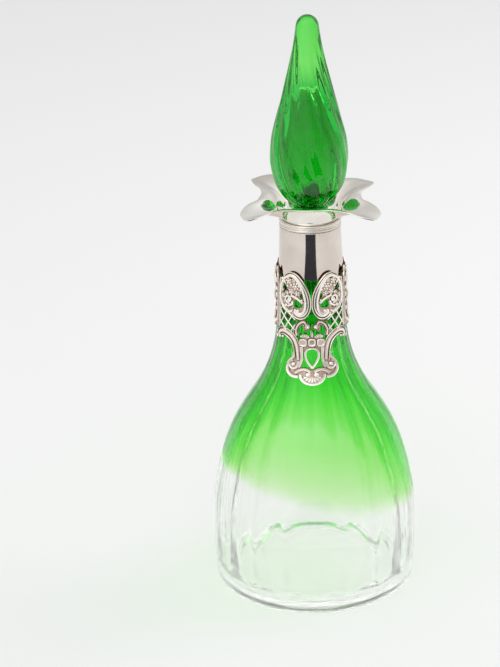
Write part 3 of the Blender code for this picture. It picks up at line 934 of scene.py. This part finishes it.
def pendant_ornament():
    """The large panel: two scroll cartouches of flowers over a scrolled pendant."""
    art = Ornament()
    # the cartouche: a pierced ground, a broad inner scroll that ends in a volute, an outer one
    art.plate(cartouche_field, 1.4, 19.2, 157, 180.2, 0.45)
    art.band([(14.9, 177.9), (12, 179.5), (9, 179), (6.4, 176.6), (4.2, 173.2), (2.7, 169.4),
              (2.1, 165.4), (2.45, 161.6), (4.1, 158.7), (6.4, 157.9), (8.5, 158.8), (9.1, 160.4),
              (8.4, 161.5)], 4.1, 1.15, taper=(0.6, 0.85, 1, 1, 1, 0.6), per_span=8,
             section=SCROLL_SECTION)
    art.boss(7.3, 160.3, 1.15, 1.3)
    art.band([(12.2, 179), (15.4, 176.9), (17.6, 173.4), (18.5, 169), (18.3, 165.2), (17, 161.9),
              (14.2, 160), (11.2, 159.6)], 3, 1.05, taper=(0.8, 1, 0.75), per_span=8,
             section=SCROLL_SECTION)
    art.boss(10.9, 160, 0.85, 1.15)
    # flowers, leaves and a roundel on the ground
    for u, v, r, petals in ((8.2, 173.8, 2.2, 6), (7.6, 170, 1.6, 5), (10.9, 170.6, 1.75, 5),
                            (12.6, 176.2, 1.9, 5), (9.2, 177, 1.3, 5), (16.3, 167.4, 1.5, 5)):
        art.flower(u, v, r, petals, 0.85, 0.35, turn=u)
    art.band(volute((12.5, 166.4), 2.3, 250, 430, 0.35, 14), 1.5, 0.85, 0.1, 0.3,
             taper=(0.7, 1), per_span=3)
    art.boss(12.5, 166.4, 0.8, 1, 0.4)
    art.band([(11, 168.6), (8.6, 168), (6.4, 166.8), (4.4, 165)], 1.4, 0.85, 0.1, 0.3)
    art.band([(13.2, 162.4), (11, 163.6), (9.9, 165.6)], 1.2, 0.8, 0.1, 0.3)
    for u, v, length, width, direction in ((16.9, 169.6, 2.4, 1.4, 100), (6.2, 175.6, 2.4, 1.2, 40),
                                           (14, 174.6, 2.4, 1.2, 20), (15.2, 164, 2.4, 1.3, 60),
                                           (12.6, 169, 2.2, 1.2, 40), (9.6, 166.2, 2.2, 1.2, 250)):
        art.leaf(u, v, length, width, direction, 0.8, 0.3)
    for u, v, r in ((14.4, 162.6, 1), (10.9, 174.2, 0.75), (5.6, 172.2, 0.7), (13.2, 173.4, 0.8),
                    (10.2, 164, 0.8), (5, 166.6, 0.6), (15.4, 175.4, 0.8)):
        art.boss(u, v, r, 0.85, 0.35)
    # the upright edge beside the narrow panel, and the shoulder at its top
    art.band([(19.3, 149.6), (19.4, 156), (19.5, 163), (19.4, 171), (18.7, 176.6)], 1.3, 0.85, 0.35)
    art.boss(17.4, 176.4, 0.9, 1)
    # trellis under the cartouche
    trellis(art, 8.6, 19.2, 148.8, 160.6, (1.75, 0.85), (4.6, 6.4))
    # the crown of two C-scrolls
    art.band(volute((1.95, 152), 1.35, -60, 300, 0.5)[::-1] +
             [(3.4, 154.3), (5.4, 154.3), (7.2, 152.6), (8.1, 149.8), (7.7, 147.2)],
             2.9, 1.1, taper=(0.5, 0.8, 1), per_span=4, section=STRAP_SECTION)
    art.boss(1.95, 151.9, 0.95, 1.3)
    # fans, shields and the straps of the stem
    art.plate(lambda u, v: min(round_hole(u, v, 0, 135.8, 3.1, 5.3), 7.4 - u, v - 138.6,
                               147 - v - 0.05 * u * u), 0, 7.6, 138.4, 147.2, 0.4)
    art.shell(3.6, 145.4, 2.6, 25, 160, 5, 0.85, 0.2)
    art.shield(4.3, 143.6, 3.9, 4.1, 0.85, 0.35)
    art.band([(6.5, 134.4), (7, 138), (7.6, 141.4), (9.2, 144.9), (12.2, 147.4), (15.8, 148.2),
              (18.4, 147.2), (19.3, 145.4), (18.6, 144.2)], 4.3, 1.1,
             taper=(0.72, 0.9, 1, 0.9, 0.5), per_span=8, section=STRAP_SECTION)
    art.boss(18, 144.6, 0.85, 1.25)
    art.boss(16.2, 144.9, 0.8, 1)
    # the lower volute: a broad dished scroll round a large eye
    art.plate(lambda u, v: min(-round_hole(u, v, 7.8, 130.2, 4, 4.4), u - 4.7),
              4.4, 12, 125.4, 135, 0.35)
    art.band([(8.6, 138.6), (8.8, 135.8), (10.2, 133.9), (11.2, 131.2), (10.6, 128.2), (8.5, 126.3),
              (5.9, 126)], 1.7, 1.05, 0.3, taper=(0.7, 1), per_span=8)
    art.band([(6, 133.6), (6.9, 130.9), (8.6, 130), (10, 131), (10.1, 132.8), (8.9, 133.8)], 1.5,
             1.05, 0.3, taper=(1, 0.7))
    art.boss(8.6, 131.9, 1.15, 1.3, 0.1)
    art.band([(5, 141.4), (4.8, 137.6), (4.9, 133.8), (6, 130.6)], 1.5, 1, 0.3)
    art.band([(0, 140.8), (1.9, 140.3), (3, 138.5), (2.8, 135.6), (1.5, 132.8), (0, 130.8)], 1.15,
             0.95, 0.25)
    # the shell at the bottom, under two eyes
    art.band([(7.4, 127.4), (6, 129), (4, 129.9), (1.9, 129.5), (0.8, 128.3)], 1.9, 1.05, 0.35,
             taper=(0.8, 0.8))
    art.boss(1.75, 127.1, 1.25, 1.35, 0.1)
    art.mirror()
    art.shield(0, 143.8, 3.8, 4.2, 0.95, 0.35)
    art.leaf(0, 146.6, 4, 1.9, 80, 1)
    art.plate(lambda u, v: -round_hole(u, v, 0, 127.2, 4.9, 4.6), -5.2, 5.2, 122.4, 129.4, 0.35)
    art.shell(0, 127.4, 4.2, 205, 335, 7, 0.45, 0.1)
    art.band([(-5, 127.2), (-4.5, 125.2), (-2.7, 123.3), (0, 122.6), (2.7, 123.3), (4.5, 125.2),
              (5, 127.2)], 1.3, 1, 0.1)
    art.boss(0, 130.6, 0.8, 1.1)
    return art


STRAP_HOLES = (
    (6.3, 169.6, 1.2, 1.9), (6.1, 161.2, 1.3, 1.7), (6.3, 154.6, 1.2, 1.4),
    (0, 168.2, 1.2, 1.6), (0, 157.6, 1.5, 2.2), (2.3, 174.4, 0.9, 0.8))


def strap_field(u, v):
    u = abs(u)
    return min(8.2 - u, v - 149.6, 179.4 - v,
               *(round_hole(u, v, *hole) for hole in STRAP_HOLES))


def side_ornament():
    """The narrow panel: an arched frame round a strap that ends in two volutes."""
    art = Ornament()
    art.plate(strap_field, -8.4, 8.4, 149.4, 179.6, 0.4)
    art.band([(8.3, 149.8), (8.5, 163), (8.4, 174.6), (7.4, 178), (6.5, 181.4)], 1.6, 0.95, 0.4,
             taper=(1, 0.55))
    art.band([(6.6, 180.6), (4.6, 178.4), (2.2, 177.8), (0, 178.6)], 1.7, 1, 0.5)
    art.band([(0.4, 176.6), (3.2, 175.4), (4.6, 171.8), (3.8, 167.6), (1.6, 164.8), (0, 163.4)],
             2.3, 1.05, 0.55)
    art.band([(0.4, 162), (3, 160), (4, 156.4), (3.6, 152.6), (4.6, 149.8), (6.6, 149.6),
              (7.2, 151.4), (6.1, 152.3)], 2.4, 1.05, 0.55, taper=(1, 0.6))
    art.boss(5.8, 151.1, 1, 1.3)
    for u, v, r in ((2, 171.4, 1.3), (6.5, 173.6, 1.5), (6.3, 165.4, 1.5), (6.4, 157.8, 1.3)):
        art.flower(u, v, r, 5, 0.85, 0.3, turn=v)
    for u, v, direction in ((5.2, 176.4, 200), (5, 163.6, 250), (7.4, 168, 110), (7.3, 163, 260)):
        art.leaf(u, v, 2.6, 1.3, direction, 0.7, 0.3)
    art.mirror()
    art.flower(0, 163.2, 1.9, 6, 0.9, 0.3)
    art.boss(0, 178.8, 1.1, 1.2)
    art.flower(0, 173.2, 1.6, 6, 0.85, 0.3)
    art.shell(0, 152.6, 3.4, 200, 340, 5, 0.8, 0.1)
    art.leaf(0, 152.6, 4.4, 2, 82, 0.95, 0.1)
    return art


APRON_NECK_LINE = in_mm((
    (120, 18.8), (150, 18.8), (156, 18.45), (165, 18.3), (174, 18.1), (182, 17.4)))


def apron_radius(z):
    return max(lookup(APRON_NECK_LINE, z), bottle_radius(z) + APRON_CLEARANCE)


def make_panel(name, node, art, facing, material):
    mesh = bpy.data.meshes.new(name)
    work = art.work
    for vert in work.verts:
        wrap, height, depth = vert.co * MM
        angle = facing + wrap / UNROLL_RADIUS
        radius = apron_radius(height) + APRON_BACK + depth
        vert.co = (radius * math.cos(angle), radius * math.sin(angle), height)
    bmesh.ops.recalc_face_normals(work, faces=work.faces)
    work.to_mesh(mesh)
    work.free()
    mesh.shade_smooth()
    put_piece(name, mesh, material, 55, node)


# The stage

FLOOR_COLOUR = (0.875, 0.88, 0.88)
FLOOR_DROP = 0.2 * MM
STRIP_COLOUR = (0.045, 0.046, 0.055)
STRIP_PLACE = (0.0, -0.86, 0.002)
STRIP_SIZE = (0.46, 1.1, 1.0)

LIT_POINT = (0.0, 0.0, 0.12)
LAMPS = (  # name, place, size, power, colour
    ("key_back_right", (1.1, 0.45, 1.25), (0.9, 0.9), 6.6, (1, 0.985, 0.96)),
    ("fill_left", (-1.4, -0.5, 0.9), (1, 1.2), 2.9, (0.96, 0.98, 1)),
    ("top", (-0.1, -0.75, 1.8), (1.4, 1.4), 4.4, (1, 1, 1)))
ROOM_TONES = (  # by height, from the horizon to the zenith
    (0, (0.99, 0.99, 0.985)), (0.16, (0.84, 0.825, 0.81)), (0.40, (0.95, 0.95, 0.94)),
    (0.75, (1.06, 1.06, 1.05)))
ROOM_GLOWS = (  # direction, cosine of the angle where it fades out, strength
    ((-0.5, -0.6, 0.75), 0.35, 0.35), ((0.7, 0.35, 0.55), 0.55, 0.25),
    ((-0.45, -0.75, 0.8), 0.86, 0.8), ((0.75, -0.3, 0.75), 0.90, 0.7),
    ((1, -0.35, 0.3), 0.45, -0.30), ((0, 1, 0.05), 0.35, -0.18))
ROOM_STRENGTH = 0.77
SEEN_ALIKE = (  # kinds of ray that see one even tone instead of the room
    ("Is Transmission Ray", (1.12, 1.13, 1.12)), ("Is Diffuse Ray", (0.985, 0.99, 0.985)),
    ("Is Camera Ray", (0.82, 0.837, 0.83)))


def make_matt(obj, name, colour):
    """A stage piece that mirrors nothing."""
    material, tree, shader = material_tree(name)
    feed(tree, shader, Base_Color=(*colour, 1.0), Roughness=1.0, Specular_IOR_Level=0.0)
    obj.data.materials.append(material)


def make_stage():
    bpy.ops.mesh.primitive_circle_add(vertices=96, radius=9.0, fill_type="NGON")
    floor = bpy.context.object
    floor.name = "floor"
    floor.location.z = -FLOOR_DROP
    make_matt(floor, "pale_table", FLOOR_COLOUR)

    # a dark strip in front, seen only as the band in the sleeve's reflection
    bpy.ops.mesh.primitive_plane_add(size=1.0, location=STRIP_PLACE)
    strip = bpy.context.object
    strip.name = "dark_reflection_strip"
    strip.scale = STRIP_SIZE
    for ray in ("camera", "diffuse", "transmission", "shadow"):
        setattr(strip, "visible_" + ray, False)
    make_matt(strip, "dark_strip", STRIP_COLOUR)


def area_light(name, place, size, power, colour):
    data = bpy.data.lights.new(name, "AREA")
    data.shape = "RECTANGLE"
    data.size, data.size_y = size
    data.energy = power
    data.color = colour
    light = bpy.data.objects.new(name, data)
    light.location = place
    direction = Vector(LIT_POINT) - Vector(place)
    light.rotation_euler = direction.to_track_quat("-Z", "Y").to_euler()
    light.visible_camera = False
    light.visible_glossy = False
    bpy.context.scene.collection.objects.link(light)


def soft_glow(tree, direction, toward, start, strength):
    facing = vector_node(tree, "DOT_PRODUCT", direction, Vector(toward).normalized())["Value"]
    spread = add_node(tree, "MapRange", Value=facing, From_Min=start, To_Max=strength)
    spread.interpolation_type = "SMOOTHSTEP"
    return spread.outputs["Result"]


def make_room():
    """The light all round: soft glows for the silver to mirror, and even tones for the rest."""
    world = bpy.data.worlds.new("studio")
    bpy.context.scene.world = world
    world.use_nodes = True
    tree = world.node_tree
    direction = add_node(tree, "TexCoord").outputs["Generated"]
    seen = ramp(tree, split_vector(tree, direction)["Z"], ROOM_TONES)
    glow = soft_glow(tree, direction, *ROOM_GLOWS[0])
    for place in ROOM_GLOWS[1:]:
        glow = math_node(tree, "ADD", glow, soft_glow(tree, direction, *place))
    seen = vector_node(tree, "ADD", seen, glow)["Vector"]
    path = add_node(tree, "LightPath").outputs
    for ray, tone in SEEN_ALIKE:
        mix = tree.nodes.new("ShaderNodeMix")
        mix.data_type = "RGBA"
        feed(tree, mix, Factor=path[ray], A=seen, B=(*tone, 1.0))
        seen = mix.outputs["Result"]
    feed(tree, tree.nodes["Background"], Color=seen, Strength=ROOM_STRENGTH)


# The viewpoint: a metre away and 25 degrees down, with the whole object in the frame
CAMERA_PLACE = (0.0, -1.057, 0.572)
CAMERA_PITCH = math.radians(25.1)
CAMERA_ROLL = math.radians(-0.85)
LENS = 116.0
SENSOR_WIDTH = 36.0
SHIFT = (-0.095, 0.163)


def make_camera():
    data = bpy.data.cameras.new("camera")
    data.lens = LENS
    data.sensor_width = SENSOR_WIDTH
    data.shift_x, data.shift_y = SHIFT
    camera = bpy.data.objects.new("camera", data)
    camera.location = CAMERA_PLACE
    pitch = Matrix.Rotation(math.pi / 2 - CAMERA_PITCH, 4, "X")
    camera.rotation_euler = (pitch @ Matrix.Rotation(CAMERA_ROLL, 4, "Z")).to_euler()
    scene = bpy.context.scene
    scene.collection.objects.link(camera)
    scene.camera = camera
    scene.view_settings.view_transform = "Standard"
    # light passes many glass walls before it leaves the bottle
    scene.cycles.max_bounces = 28
    scene.cycles.transmission_bounces = 28
    scene.cycles.transparent_max_bounces = 24
    scene.cycles.glossy_bounces = 8


def main():
    silver = polished_silver("polished_silver_fine", *SLEEVE_TONES)
    lip_silver = polished_silver("lip_silver_fine", *LIP_TONES)
    pierced = chased_silver()
    make_bottle(bottle_glass())
    make_stopper(stopper_glass())
    make_sleeve(silver)
    make_ring(lip_silver)
    make_lip(lip_silver)
    quarter = math.pi / 2
    for name, node, ornament, facing in (
            ("pendant_front", "pierced_panel_front", pendant_ornament, -quarter),
            ("pendant_back", "pierced_panel_back", pendant_ornament, quarter),
            ("strap_right", "pierced_side_right", side_ornament, 0.0),
            ("strap_left", "pierced_side_left", side_ornament, math.pi)):
        make_panel(name, node, ornament(), facing, pierced)
    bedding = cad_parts["neck_bedding"]
    bedding.data.materials.clear()
    bedding.data.materials.append(plaster())
    make_stage()
    for lamp in LAMPS:
        area_light(*lamp)
    make_room()
    make_camera()


main()
